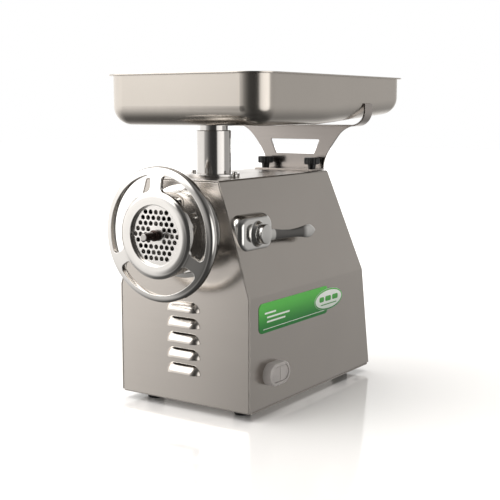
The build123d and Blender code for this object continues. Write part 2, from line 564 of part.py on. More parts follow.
# ---- gears ----
def gear(teeth, module, bore, y0, y1, z, phase):
    """Spur gear with involute flanks; phase turns it about its axis, in degrees."""
    pitch_r = teeth * module / 2
    base_r = pitch_r * cos(radians(20))
    tip_r, root_r = pitch_r + 0.9 * module, pitch_r - 1.2 * module
    half_pitch = pi / 2 / teeth - 0.12 / pitch_r

    def involute(radius):
        angle = acos(min(1.0, base_r / radius))
        return tan(angle) - angle

    points = []
    radii = [max(base_r, root_r + 0.2 * module), pitch_r, pitch_r + 0.5 * module, tip_r]
    for tooth in range(teeth):
        middle = radians(phase) + 2 * pi * tooth / teeth
        half = [half_pitch + involute(pitch_r) - involute(radius) for radius in radii]
        rising = [(root_r, half[0] + 0.1 * module / root_r)] + list(zip(radii, half))
        flank = [(radius, middle - turn) for radius, turn in rising]
        flank += [(radius, middle + turn) for radius, turn in reversed(rising)]
        points += [(radius * cos(a), radius * sin(a)) for radius, a in flank]
    return Pos(0, 0, z) * prism_y(polygon(points) - Circle(bore), y0, y1)


OUT_R, INTER_R, MOTOR_R = 15.0, 12.0, 11.0
GEAR_Y0, STAGE2_Y, STAGE1_Y, GEAR_Y1 = 232.0, 247.0, 268.0, 300.0
output_gear = gear(GEAR_2_TEETH, MODULE_2, OUT_R, fy(STAGE2_Y), fy(STAGE2_Y + 17), WORM_Z, -90)
inter_phase = 90 + 180 / PINION_2_TEETH
intermediate_shaft = gear(PINION_2_TEETH, MODULE_2, 2, fy(STAGE2_Y - 1), fy(STAGE2_Y + 18), INTER_Z, inter_phase)
intermediate_shaft += rod_y(INTER_R, fy(STAGE2_Y + 17), fy(296), 0, INTER_Z)
intermediate_shaft += rod_y(INTER_R, fy(235), fy(STAGE2_Y), 0, INTER_Z)
intermediate_shaft += rod_y(3, fy(235), fy(296), 0, INTER_Z)
intermediate_gear = gear(GEAR_TEETH, MODULE_1, INTER_R, fy(STAGE1_Y), fy(STAGE1_Y + 15), INTER_Z, -90)
for index in range(6):
    hole = Rot(0, 60 * index, 0) * rod_y(10, fy(260), fy(290), 36, 0)
    intermediate_gear -= Pos(0, 0, INTER_Z) * hole
motor_phase = 90 + 180 / PINION_TEETH
motor_pinion = gear(PINION_TEETH, MODULE_1, MOTOR_R, fy(STAGE1_Y - 1), fy(STAGE1_Y + 16), MOTOR_Z, motor_phase)
output_shaft = rod_y(OUT_R, fy(158), fy(296))
output_shaft += Pos(0, fy(146), WORM_Z) * Box(SQUARE, 26, SQUARE)


# ---- gearbox ----
def case_outline(grow):
    circles = []
    for height, radius in ((MOTOR_Z, 36.0), (INTER_Z, 67.0), (WORM_Z, 66.0)):
        circles.append(Pos(0, height) * Circle(radius + grow))
    hull = make_hull([edge for circle in circles for edge in circle.edges()])
    return Sketch() + hull


gearbox_case = prism_y(case_outline(4), fy(GEAR_Y0), fy(286))
gearbox_case -= prism_y(case_outline(0), fy(GEAR_Y0 + 12), fy(290))
gearbox_case += rod_y(48, fy(HEAD_END + 0.2), fy(GEAR_Y0 + 2))
gearbox_case -= rod_y(38.1, fy(HEAD_END - 1), fy(HEAD_END + 16))
gearbox_case -= rod_y(31, fy(HEAD_END + 10), fy(192))
gearbox_case -= rod_y(OUT_R + 4, fy(HEAD_END + 10), fy(250))
gearbox_case -= rod_y(23.5, fy(GEAR_Y0 + 2), fy(250), 0, INTER_Z)
gearbox_case -= rod_y(MOTOR_R + 4, fy(GEAR_Y0 - 1), fy(250), 0, MOTOR_Z)
gearbox_cover = prism_y(case_outline(4), fy(286), fy(GEAR_Y1))
gearbox_cover -= rod_y(31, fy(285), fy(297))
gearbox_cover -= rod_y(23.5, fy(285), fy(297), 0, INTER_Z)


def bearing(outer, inner, y0, width, z):
    """Sealed ball bearing as one ring with a groove between its races on each face."""
    ring = ring_y(outer, inner + RUN, fy(y0), fy(y0 + width), 0, z)
    middle = (outer + inner) / 2
    for face in (y0, y0 + width):
        ring -= ring_y(middle + 2, middle - 2, fy(face - 0.6), fy(face + 0.6), 0, z)
    return ring


output_bearings = [bearing(30.95, OUT_R, 172, 16, WORM_Z), bearing(30.95, OUT_R, 286.2, 10, WORM_Z)]
intermediate_bearings = [bearing(23.45, INTER_R, 235, 10, INTER_Z), bearing(23.45, INTER_R, 286.2, 10, INTER_Z)]
oil_seal = ring_y(30.9, OUT_R + 0.6, fy(166.5), fy(171.5))
gearbox_screws = []
for angle in (35, 90, 145):
    for centre, radius, sign in ((WORM_Z, 66 + 0.2, 1), (MOTOR_Z, 36 + 0.2, -1)):
        x = (radius - 3.6) * cos(radians(angle))
        z = centre + sign * (radius - 3.6) * sin(radians(angle))
        gearbox_screws.append(Pos(x, fy(GEAR_Y1), z) * Rot(-90, 0, 0) * Pos(0, 0, 2) * Cylinder(3, 4))

# ---- motor ----
FRAME_R = 66.0
motor_case = ring_y(FRAME_R, FRAME_R - 5, fy(52), fy(214), 0, MOTOR_Z)
for index in range(24):
    fin = block(FRAME_R - 1, FRAME_R + 4, fy(56), fy(210), -1.2, 1.2)
    motor_case += Pos(0, 0, MOTOR_Z) * Rot(0, 15 * index, 0) * fin
motor_stator = ring_y(FRAME_R - 5.2, 42, fy(80), fy(185), 0, MOTOR_Z)
motor_stator += ring_y(56, 44, fy(62), fy(204), 0, MOTOR_Z)
motor_rotor = ring_y(41.4, MOTOR_R, fy(80), fy(185), 0, MOTOR_Z)
motor_shaft = rod_y(MOTOR_R, fy(30), fy(285), 0, MOTOR_Z) + rod_y(7, fy(15), fy(31), 0, MOTOR_Z)
motor_front_bell = ring_y(FRAME_R - 0.2, MOTOR_R + 3, fy(42), fy(51.8), 0, MOTOR_Z)
motor_front_bell += ring_y(30, 23.5, fy(50), fy(61), 0, MOTOR_Z)
motor_flange = ring_y(FRAME_R - 0.2, MOTOR_R + 3, fy(214.2), fy(231.8), 0, MOTOR_Z)
motor_flange += ring_y(30, 23.5, fy(206), fy(215), 0, MOTOR_Z)
motor_bearings = [bearing(23.45, MOTOR_R, 52, 8.5, MOTOR_Z), bearing(23.45, MOTOR_R, 206, 8, MOTOR_Z)]
fan = ring_y(20, 7, fy(18), fy(29), 0, MOTOR_Z)
fan += ring_y(56, 18, fy(27), fy(29), 0, MOTOR_Z)
for index in range(9):
    blade = block(19, 55, fy(17), fy(27.5), -1.1, 1.1)
    fan += Pos(0, 0, MOTOR_Z) * Rot(0, 40 * index, 0) * blade
fan_cover = ring_y(FRAME_R + 1.6, FRAME_R, fy(11), fy(50), 0, MOTOR_Z)
fan_cover += ring_y(FRAME_R + 1.6, 50, fy(11), fy(12.6), 0, MOTOR_Z)
for radius in (14, 26, 38):
    fan_cover += ring_y(radius + 2, radius - 2, fy(11), fy(12.6), 0, MOTOR_Z)
for index in range(3):
    bar = Rot(0, 60 * index, 0) * block(-52, 52, fy(11), fy(12.6), -2, 2)
    fan_cover += Pos(0, 0, MOTOR_Z) * bar
fan_cover = fan_cover + ring_y(FRAME_R + 0.8, FRAME_R - 0.2, fy(49), fy(50), 0, MOTOR_Z)

# ---- electrics ----
control_box = block(-114, -82, fy(70), fy(200), BASE + 8, BASE + 108)
control_box = fillet(control_box.edges().filter_by(Axis.Y), 4)
for column in range(3):
    contactor = block(-82, -76, fy(88 + column * 34), fy(112 + column * 34), BASE + 16, BASE + 34)
    control_box += contactor
capacitor = rod_y(18, fy(110), fy(205), 96, BASE + 24)
capacitor = fillet(capacitor.edges(), 2)
capacitor += rod_y(4, fy(204), fy(212), 96, BASE + 24)
gland_frame = on_rear(GLAND_Z, GLAND_X) * Rot(90, 0, 0)
cable_gland = extrude(RegularPolygon(11, 6), amount=7) + Pos(0, 0, -3) * Cylinder(8, 13)
cable_gland += Pos(0, 0, 12.4) * Cone(9.3, 7.5, 11)
CORD_R = 4.6
cable_gland -= Cylinder(CORD_R, 60)
gland_nut = Pos(0, 0, -SHEET - 4.2) * extrude(RegularPolygon(11, 6), amount=4) - Cylinder(8, 60)

os.makedirs("parts", exist_ok=True)
NODES = {
    "housing_shell": shell, "front_panel": front_panel, "rear_panel": rear_panel, "base_plate": base_plate,
    "rubber_feet": feet, "foot_screws": foot_screws, "housing_screws": housing_screws,
    "front_flange": front_flange, "neck_ring": neck_ring, "neck_ring_screws": neck_screws,
    "head_barrel": head, "hole_plate": hole_plate, "plate_key": plate_key, "cutting_knife": knife, "worm": worm,
    "worm_stud": worm_stud, "thrust_washer": thrust_washer, "ring_nut": ring_nut, "handwheel": handwheel,
    "feed_tube": feed_tube, "tray": tray, "tray_spout": tray_spout, "tray_bracket": bracket,
    "left_knob": knobs[0], "right_knob": knobs[1], "left_knob_screw": knob_screws[0],
    "right_knob_screw": knob_screws[1],
    "latch_block": latch_block, "latch_shaft": latch_shaft, "latch_lever": latch_lever,
    "switch_bezel": bezel, "start_button": start_button, "stop_button": stop_button, "switch_body": switch_body,
    "label_plate": label_plate, "label_badge": label_badge,
    "gearbox_case": gearbox_case, "gearbox_cover": gearbox_cover, "gearbox_screws": gearbox_screws,
    "output_gear": output_gear, "output_shaft": output_shaft, "output_bearings": output_bearings,
    "intermediate_gear": intermediate_gear, "intermediate_shaft": intermediate_shaft,
    "intermediate_bearings": intermediate_bearings, "oil_seal": oil_seal, "motor_pinion": motor_pinion,
    "motor_case": motor_case, "motor_stator": motor_stator, "motor_rotor": motor_rotor,
    "motor_shaft": motor_shaft, "motor_front_bell": motor_front_bell, "motor_flange": motor_flange,
    "motor_bearings": motor_bearings, "cooling_fan": fan, "fan_cover": fan_cover,
    "control_box": control_box, "capacitor": capacitor,
    "cable_gland": gland_frame * cable_gland, "gland_nut": gland_frame * gland_nut,
}
for name, shape in NODES.items():
    write(name, shape)
print(len(NODES), "nodes")
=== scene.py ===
from math import asin, cos, degrees, pi, radians, sin

import bmesh
import bpy
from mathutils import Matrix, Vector


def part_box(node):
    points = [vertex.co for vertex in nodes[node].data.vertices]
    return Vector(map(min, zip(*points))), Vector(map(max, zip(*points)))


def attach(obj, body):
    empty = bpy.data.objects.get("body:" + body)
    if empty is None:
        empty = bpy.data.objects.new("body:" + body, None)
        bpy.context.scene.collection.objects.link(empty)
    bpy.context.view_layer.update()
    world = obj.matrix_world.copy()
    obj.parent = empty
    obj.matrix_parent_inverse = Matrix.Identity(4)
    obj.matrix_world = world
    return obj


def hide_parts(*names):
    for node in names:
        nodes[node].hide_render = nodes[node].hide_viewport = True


# Looks of the electric meat grinder, in metres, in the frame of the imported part: the front faces -Y.
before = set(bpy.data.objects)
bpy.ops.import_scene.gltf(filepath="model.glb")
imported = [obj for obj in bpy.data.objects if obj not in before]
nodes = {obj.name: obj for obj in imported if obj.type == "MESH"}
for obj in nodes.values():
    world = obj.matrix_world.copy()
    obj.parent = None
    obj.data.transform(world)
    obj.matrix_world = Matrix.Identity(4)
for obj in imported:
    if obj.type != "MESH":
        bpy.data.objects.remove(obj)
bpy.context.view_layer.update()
MM = 0.001                               # lengths of new pieces are in millimetres, the scene is in metres
WARM_WHITE = (1.0, 0.985, 0.965)         # colour of the studio's light


# ---- node tree helpers ----
class Tree:
    """Short calls for building one node tree."""

    def __init__(self, tree):
        self.nodes, self.links = tree.nodes, tree.links
        self.nodes.clear()

    def add(self, kind, inputs=None, **settings):
        node = self.nodes.new(kind)
        for key, value in settings.items():
            setattr(node, key, value)
        for key, value in (inputs or {}).items():
            if isinstance(value, bpy.types.NodeSocket):
                self.links.new(value, node.inputs[key])
            else:
                node.inputs[key].default_value = value
        return node

    def maths(self, operation, a, b=0.0, clamp=False):
        return self.add("ShaderNodeMath", {0: a, 1: b}, operation=operation, use_clamp=clamp).outputs[0]

    def ramp(self, value, stops, smooth=False):
        node = self.add("ShaderNodeValToRGB", {"Fac": value})
        ramp = node.color_ramp
        ramp.interpolation = "EASE" if smooth else "LINEAR"
        while len(ramp.elements) < len(stops):
            ramp.elements.new(0.5)
        for element, (place, colour) in zip(ramp.elements, stops):
            element.position = place
            element.color = colour if hasattr(colour, "__len__") else (colour, colour, colour, 1)
        return node.outputs["Color"]

    def noise(self, vector, scale, detail=2.0, rough=0.5):
        settings = {"Vector": vector, "Scale": scale, "Detail": detail, "Roughness": rough}
        return self.add("ShaderNodeTexNoise", settings).outputs["Fac"]

    def bump(self, height, distance, strength, normal):
        inputs = {"Height": height, "Distance": distance, "Strength": strength, "Normal": normal}
        return self.add("ShaderNodeBump", inputs).outputs[0]

    def mapped(self, vector, scale):
        return self.add("ShaderNodeMapping", {"Vector": vector, "Scale": scale}).outputs[0]

    def mix(self, amount, a, b):
        node = self.add("ShaderNodeMix", data_type="RGBA")
        for socket, value in ((node.inputs["Factor"], amount), (node.inputs[6], a), (node.inputs[7], b)):
            if isinstance(value, bpy.types.NodeSocket):
                self.links.new(value, socket)
            else:
                socket.default_value = value
        return node.outputs[2]


def rgb(red, green, blue):
    return (red, green, blue, 1.0)


def shade(colour, factor):
    return tuple(min(1.0, channel * factor) for channel in colour[:3]) + (1.0,)


BEVEL_SAMPLES = 6
EDGE_GAIN = 6.0                          # how fast the edge mask fills as the two normals part


def edges_of(tree, radius):
    """Rounded normal, and a mask that is 1 near sharp edges: there that normal leaves the true one."""
    rounded = tree.add("ShaderNodeBevel", {"Radius": radius}, samples=BEVEL_SAMPLES).outputs[0]
    normal = tree.add("ShaderNodeNewGeometry").outputs["Normal"]
    dot = tree.add("ShaderNodeVectorMath", {0: rounded, 1: normal}, operation="DOT_PRODUCT").outputs["Value"]
    return rounded, tree.maths("MULTIPLY", tree.maths("SUBTRACT", 1.0, dot), EDGE_GAIN, clamp=True)


def new_material(name):
    """New material with an empty shader, its node tree and its object coordinates in metres."""
    material = bpy.data.materials.new(name)
    material.use_nodes = True
    tree = Tree(material.node_tree)
    shader = tree.add("ShaderNodeBsdfPrincipled")
    tree.add("ShaderNodeOutputMaterial", {"Surface": shader.outputs[0]})
    place = tree.add("ShaderNodeTexCoord").outputs["Object"]
    return material, tree, shader, place


def link(tree, shader, sockets):
    """Sets the shader's sockets, each to a value or to another node's output."""
    for name, value in sockets.items():
        if isinstance(value, bpy.types.NodeSocket):
            tree.links.new(value, shader.inputs[name])
        else:
            shader.inputs[name].default_value = value


# ---- materials ----
def brushed(name, colour, roughness, grain, spread=0.03, turn=0.35):
    """Brushed or satin metal. The grain runs along the axis with the small scale."""
    depth, wear = 0.00001, 0.0008
    material, tree, shader, place = new_material(name)
    fine = tree.noise(tree.mapped(place, grain), 1.0, 3.0, 0.65)
    cloud = tree.noise(place, 9.0, 3.0)
    streak = tree.noise(tree.mapped(place, tuple(0.12 * value for value in grain)), 1.0, 2.0)
    tone = tree.maths("ADD", tree.maths("MULTIPLY", fine, 0.5), tree.maths("MULTIPLY", cloud, 0.5))
    body = tree.ramp(tone, [(0.3, shade(colour, 0.96)), (0.7, shade(colour, 1.03))])
    rounded, worn = edges_of(tree, wear)
    body = tree.mix(worn, body, shade(colour, 1.3))
    rough = tree.maths("ADD", roughness - spread, tree.maths("MULTIPLY", streak, 2 * spread), clamp=True)
    bump = tree.bump(fine, depth, 0.4, rounded)
    tangent = tree.add("ShaderNodeTangent", direction_type="RADIAL", axis="Z")
    link(tree, shader, {"Base Color": body, "Metallic": 1.0, "Roughness": rough, "Normal": bump,
                        "Anisotropic": turn, "Tangent": tangent.outputs[0]})
    return material


def polished(name, colour, roughness, wave=0.00004, scale=60.0):
    """Polished or plated metal with faint waves from the buffing wheel and small hazy patches."""
    wear = 0.0009
    material, tree, shader, place = new_material(name)
    swell = tree.noise(place, scale, 2.0)
    haze = tree.noise(place, 22.0, 4.0, 0.6)
    scratch = tree.noise(tree.mapped(place, (900.0, 160.0, 900.0)), 1.0, 2.0)
    body = tree.ramp(haze, [(0.25, shade(colour, 0.94)), (0.75, shade(colour, 1.03))])
    rounded, worn = edges_of(tree, wear)
    body = tree.mix(worn, body, shade(colour, 1.2))
    hazy, scratched = (tree.maths("MULTIPLY", texture, roughness) for texture in (haze, scratch))
    rough = tree.maths("ADD", hazy, scratched)
    height = tree.maths("ADD", swell, tree.maths("MULTIPLY", scratch, 0.04))
    bump = tree.bump(height, wave, 0.6, rounded)
    link(tree, shader, {"Base Color": body, "Metallic": 1.0, "Roughness": rough, "Normal": bump})
    return material


def rough_metal(name, colour, roughness, grain=500.0, metallic=1.0):
    """Cast, ground or hobbed metal with a fine even skin."""
    depth, wear = 0.00008, 0.0006
    material, tree, shader, place = new_material(name)
    skin = tree.noise(place, grain, 4.0, 0.6)
    cloud = tree.noise(place, 30.0, 3.0)
    body = tree.ramp(cloud, [(0.3, shade(colour, 0.88)), (0.72, shade(colour, 1.08))])
    rounded, worn = edges_of(tree, wear)
    body = tree.mix(worn, body, shade(colour, 1.35))
    rough = tree.maths("ADD", roughness - 0.08, tree.maths("MULTIPLY", skin, 0.16), clamp=True)
    bump = tree.bump(skin, depth, 0.5, rounded)
    link(tree, shader, {"Base Color": body, "Metallic": metallic, "Roughness": rough,
                        "Normal": bump})
    return material


def moulded(name, colour, roughness, grain=1400.0, depth=0.00005, specular=0.5):
    """Moulded plastic or rubber with a fine spark-eroded texture and rubbed edges."""
    wear = 0.0009
    material, tree, shader, place = new_material(name)
    skin = tree.noise(place, grain, 3.0, 0.6)
    cloud = tree.noise(place, 40.0, 2.0)
    body = tree.ramp(cloud, [(0.3, shade(colour, 0.9)), (0.7, shade(colour, 1.1))])
    rounded, worn = edges_of(tree, wear)
    body = tree.mix(worn, body, shade(colour, 1.5))
    rough = tree.maths("ADD", roughness - 0.06, tree.maths("MULTIPLY", skin, 0.12), clamp=True)
    bump = tree.bump(skin, depth, 0.5, rounded)
    link(tree, shader, {"Base Color": body, "Roughness": rough, "Specular IOR Level": specular,
                        "Normal": bump})
    return material


def printed(name, top, low, z_low, z_high):
    """Printed film: its colour runs from top to bottom under a clear glossy coat."""
    material, tree, shader, place = new_material(name)
    height = tree.add("ShaderNodeSeparateXYZ", {"Vector": place}).outputs["Z"]
    share = tree.add("ShaderNodeMapRange", {"Value": height, "From Min": z_low, "From Max": z_high})
    body = tree.ramp(share.outputs[0], [(0.0, low), (1.0, top)], smooth=True)
    speck = tree.noise(place, 900.0, 2.0)
    body = tree.mix(tree.maths("MULTIPLY", speck, 0.08), body, shade(low, 0.8))
    bump = tree.add("ShaderNodeBump", {"Height": speck, "Distance": 0.00001, "Strength": 0.3}).outputs[0]
    rough = tree.maths("ADD", 0.28, tree.maths("MULTIPLY", speck, 0.08))
    link(tree, shader, {"Base Color": body, "Roughness": rough, "Specular IOR Level": 0.3,
                        "Normal": bump})
    return material


def ended(name, colour, roughness, end_colour, end_y):
    """Oiled dark metal whose front end, ahead of end_y, is bare where it was sawn off."""
    wear = 0.0008
    material, tree, shader, place = new_material(name)
    skin = tree.noise(place, 260.0, 4.0, 0.6)
    body = tree.ramp(skin, [(0.3, shade(colour, 0.8)), (0.7, shade(colour, 1.2))])
    along = tree.add("ShaderNodeSeparateXYZ", {"Vector": place}).outputs["Y"]
    bare = tree.maths("LESS_THAN", along, end_y)
    body = tree.mix(bare, body, end_colour)
    rough = tree.maths("ADD", roughness, tree.maths("MULTIPLY", skin, 0.12))
    rounded, _ = edges_of(tree, wear)
    bump = tree.bump(skin, 0.00008, 0.5, rounded)
    link(tree, shader, {"Base Color": body, "Metallic": 0.9, "Roughness": rough, "Normal": bump})
    return material


STEEL = rgb(0.50, 0.465, 0.43)
ALONG_Y = (2600.0, 30.0, 2600.0)         # noise scales of a brushed grain that runs along Y
ALONG_X = (30.0, 2600.0, 2600.0)
BAND_LOW, BAND_HIGH = 0.126, 0.17        # the green film fades between these heights, in metres
BADGE_LOW, BADGE_HIGH = 0.13, 0.166      # the white badge fades between these
STUD_END_Y = -0.2654                     # the worm stud is bare ahead of this, in metres
SLOT_MATERIALS = {
    "housing_steel": brushed("housing_brushed_steel", shade(STEEL, 0.94), 0.25, ALONG_Y),
    "tray_steel": brushed("tray_satin_steel", rgb(0.55, 0.51, 0.465), 0.2, (700.0, 700.0, 60.0),
                          spread=0.04),
    "polished_steel": polished("polished_steel", rgb(0.7, 0.68, 0.655), 0.05, wave=0.000015, scale=34.0),
    "cast_steel": polished("polished_casting", rgb(0.74, 0.72, 0.69), 0.2, wave=0.00008),
    "chromed": polished("chrome_plate", rgb(0.74, 0.73, 0.71), 0.1),
    "tool_steel": rough_metal("ground_tool_steel", rgb(0.2, 0.195, 0.19), 0.4),
    "stud_bronze": ended("oiled_bronze", rgb(0.05, 0.035, 0.03), 0.3, rgb(0.5, 0.48, 0.46), STUD_END_Y),
    "black_plastic": moulded("black_plastic", rgb(0.012, 0.012, 0.013), 0.38),
    "grey_plastic": moulded("grey_plastic", rgb(0.42, 0.395, 0.38), 0.36),
    "rubber": moulded("black_rubber", rgb(0.014, 0.013, 0.013), 0.72, grain=500.0, depth=0.0001,
                      specular=0.3),
    "zinc_screw": polished("screw_steel", rgb(0.62, 0.6, 0.58), 0.24),
    "label_green": printed("green_film", rgb(0.10, 0.50, 0.075), rgb(0.012, 0.17, 0.03),
                           BAND_LOW, BAND_HIGH),
    "label_white": printed("white_badge_film", rgb(0.86, 0.88, 0.85), rgb(0.62, 0.68, 0.62),
                           BADGE_LOW, BADGE_HIGH),
    "cast_aluminium": rough_metal("cast_aluminium", rgb(0.58, 0.57, 0.56), 0.42, grain=700.0),
    "gear_steel": rough_metal("hobbed_steel", rgb(0.4, 0.39, 0.385), 0.32, grain=420.0),
    "lamination": rough_metal("varnished_core", rgb(0.25, 0.11, 0.055), 0.4, metallic=0.35),
    "bearing_steel": polished("bearing_steel", rgb(0.62, 0.61, 0.6), 0.16),
}
FRONT_STEEL = brushed("front_brushed_steel", shade(STEEL, 1.16), 0.22, ALONG_X)
# the bracket's steel is a darker copy of the brushed steel: painted shade for the shade it gets under the
# tray
BRACKET_SHADED_STEEL = brushed("bracket_satin_steel_painted_shade", rgb(0.42, 0.385, 0.36), 0.2, ALONG_X, turn=0.2)
TUBE_STEEL = polished("turned_tube_steel", rgb(0.55, 0.53, 0.51), 0.1, wave=0.000015, scale=34.0)
PLATE_STEEL = rough_metal("ground_plate_steel", rgb(0.8, 0.775, 0.75), 0.24)
LABEL_INK = printed("white_ink", rgb(0.84, 0.87, 0.82), rgb(0.7, 0.76, 0.68), BAND_LOW, BAND_HIGH)

for node in nodes.values():
    slot_name = node.data.materials[0].name.split(".")[0]
    node.data.materials[0] = SLOT_MATERIALS[slot_name]
nodes["front_panel"].data.materials[0] = FRONT_STEEL
nodes["tray_bracket"].data.materials[0] = BRACKET_SHADED_STEEL
nodes["hole_plate"].data.materials[0] = PLATE_STEEL
for name in ("feed_tube", "neck_ring", "tray_spout"):
    nodes[name].data.materials[0] = TUBE_STEEL


# ---- pieces ----
SHARP_EDGE = radians(38)
ROUNDED_EDGE = radians(42)               # carved edges sharper than this are rounded off
WELD = 0.00002


def mesh_piece(name, mesh, body, slot, material, *replaced):
    """A piece that follows a CAD body, with smooth shading between its sharp edges."""
    mesh.materials.clear()
    mesh.materials.append(material)
    mesh.shade_smooth()
    mesh.set_sharp_from_angle(angle=SHARP_EDGE)
    piece = bpy.data.objects.new(name, mesh)
    bpy.context.scene.collection.objects.link(piece)
    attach(piece, body)
    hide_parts(*replaced)


def loft(name, loops, cyclic=False):
    """Mesh through loops of equally many points in mm; an open one is closed with a cap at each end."""
    form = bmesh.new()
    rows = [[form.verts.new(Vector(point) * MM) for point in loop] for loop in loops]
    pairs = list(zip(rows, rows[1:] + ([rows[0]] if cyclic else [])))
    for row, following in pairs:
        for index in range(len(row)):
            after = (index + 1) % len(row)
            form.faces.new((row[index], row[after], following[after], following[index]))
    if not cyclic:
        form.faces.new(rows[0])
        form.faces.new(rows[-1])
    bmesh.ops.recalc_face_normals(form, faces=form.faces)
    mesh = bpy.data.meshes.new(name)
    form.to_mesh(mesh)
    form.free()
    return mesh


def joined(name, meshes):
    """One mesh of all of these, which are used up."""
    form = bmesh.new()
    for mesh in meshes:
        form.from_mesh(mesh)
        bpy.data.meshes.remove(mesh)
    mesh = bpy.data.meshes.new(name)
    form.to_mesh(mesh)
    form.free()
    return mesh


def carved(mesh, cutters, edge):
    """The mesh less the cutters, with its sharp edges rounded off by the width edge."""
    solid = bpy.data.objects.new("solid", mesh)
    tool = bpy.data.objects.new("tool", joined("tool", cutters))
    for item in (solid, tool):
        bpy.context.scene.collection.objects.link(item)
    cut = solid.modifiers.new("cut", "BOOLEAN")
    cut.operation, cut.solver, cut.object = "DIFFERENCE", "EXACT", tool
    weld = solid.modifiers.new("weld", "WELD")
    weld.merge_threshold = WELD
    bevel = solid.modifiers.new("bevel", "BEVEL")
    bevel.width, bevel.segments, bevel.limit_method, bevel.angle_limit = edge, 3, "ANGLE", ROUNDED_EDGE
    result = bpy.data.meshes.new_from_object(solid.evaluated_get(bpy.context.evaluated_depsgraph_get()))
    for item in (solid, tool):
        spare = item.data
        bpy.data.objects.remove(item)
        bpy.data.meshes.remove(spare)
    return result


def arc(centre, radius, start, end, steps):
    """Points on a circle between two directions in degrees, both ends included."""
    turns = [radians(start + (end - start) * step / steps) for step in range(steps + 1)]
    return [(centre[0] + radius * cos(turn), centre[1] + radius * sin(turn)) for turn in turns]


def circle(radius, steps):
    """Points on a whole circle about the origin, the first one not repeated."""
    return arc((0, 0), radius, 0, 360, steps)[:-1]


def rounded_rectangle(width, height, radius, steps=10):
    """Outline about the origin, with each corner an arc of this many steps."""
    points = []
    for quarter, (side, up) in enumerate(((1, 1), (-1, 1), (-1, -1), (1, -1))):
        centre = (side * (width / 2 - radius), up * (height / 2 - radius))
        points += arc(centre, radius, 90 * quarter, 90 * quarter + 90, steps)
    return points


# ---- handwheel ----
nut_low, nut_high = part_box("ring_nut")
AXIS_Z = (nut_low[2] + nut_high[2]) / 2 / MM
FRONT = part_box("housing_shell")[0][1] / MM

# Handwheel and ring nut in one casting: (radius, Y from the front of the housing).
WHEEL_PROFILE = [
    (43.5, -64.6), (44.2, -65.2), (50, -65.2), (56, -65.2), (58.5, -64.6), (60, -63.6), (61.2, -62.6),
    (63, -61.9), (66, -61.4), (70, -60.8), (75, -60.1), (80, -59.4), (84, -58.8), (88, -58.2), (91, -57.7),
    (93.4, -57.2), (95.4, -56.2), (96.8, -54.4), (97.6, -52.0), (97.6, -49.6), (96.9, -47.0),
    (95.6, -45.0), (93.6, -43.6), (91.4, -43.3), (89.4, -44.2), (87.6, -46.6), (86.4, -50.0),
    (84.8, -52.5), (75, -54.2), (64, -56), (61, -54), (61, -33), (60, -32), (53.55, -32),
    (53.55, -60), (43.5, -60)]
WHEEL_STEPS = 216
WHEEL_EDGE = 0.0011                      # rounding of its sharp edges, in metres
WINDOW_IN, WINDOW_OUT, SPOKE_HALF, WINDOW_FILLET = 62.8, 86.6, 9.5, 7.5
WINDOW_TURNS = (30, 150, 270)
WINDOW_DEPTHS = (-75, -38)               # a window's cutter runs between these distances
NOTCHES, NOTCH_R, NOTCH_AT = 6, 6.0, 64.0
NOTCH_DEPTHS = (-44, -29)


def about_axis(points, turn, y):
    """Points in the front view, turned about the wheel's axis and set at y."""
    c, s = cos(radians(turn)), sin(radians(turn))
    return [(x * c - z * s, y, AXIS_Z + x * s + z * c) for x, z in points]


def window_outline():
    """Arc-shaped window around the direction 0, between two spokes that stand at 60 degrees to it."""
    def fillet_centre(radius):
        turn = 60 - degrees(asin((SPOKE_HALF + WINDOW_FILLET) / radius))
        return turn, (radius * cos(radians(turn)), radius * sin(radians(turn)))

    outer_turn, outer = fillet_centre(WINDOW_OUT - WINDOW_FILLET)
    inner_turn, inner = fillet_centre(WINDOW_IN + WINDOW_FILLET)
    upper = arc((0, 0), WINDOW_OUT, 0, outer_turn, 16)
    upper += arc(outer, WINDOW_FILLET, outer_turn, 150, 8)[1:]
    upper += arc(inner, WINDOW_FILLET, 150, inner_turn + 180, 8)
    upper += arc((0, 0), WINDOW_IN, inner_turn, 0, 12)[1:]
    lower = [(x, -z) for x, z in reversed(upper[1:-1])]
    return upper + lower


def handwheel():
    """Dished wheel with three windows and, on the nut behind it, a ring of notches."""
    loops = []
    for step in range(WHEEL_STEPS):
        c, s = cos(2 * pi * step / WHEEL_STEPS), sin(2 * pi * step / WHEEL_STEPS)
        loops.append([(radius * c, FRONT + distance, AXIS_Z + radius * s)
                      for radius, distance in WHEEL_PROFILE])
    cutters = []
    for turn in WINDOW_TURNS:
        ends = [about_axis(window_outline(), turn, FRONT + distance) for distance in WINDOW_DEPTHS]
        cutters.append(loft("window", ends))
    notch = arc((0, NOTCH_AT), NOTCH_R, 0, 360, 24)[:-1]
    for index in range(NOTCHES):
        ends = [about_axis(notch, 360 // NOTCHES * index, FRONT + distance) for distance in NOTCH_DEPTHS]
        cutters.append(loft("notch", ends))
    mesh = carved(loft("handwheel_casting", loops, cyclic=True), cutters, WHEEL_EDGE)
    mesh_piece("handwheel_casting", mesh, "wheel_nut", "polished_steel", SLOT_MATERIALS["polished_steel"],
               "handwheel", "ring_nut")


handwheel()

# ---- latch ----
shaft_low, shaft_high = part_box("latch_shaft")
LATCH = ((shaft_low[1] + shaft_high[1]) / 2 / MM, (shaft_low[2] + shaft_high[2]) / 2 / MM)
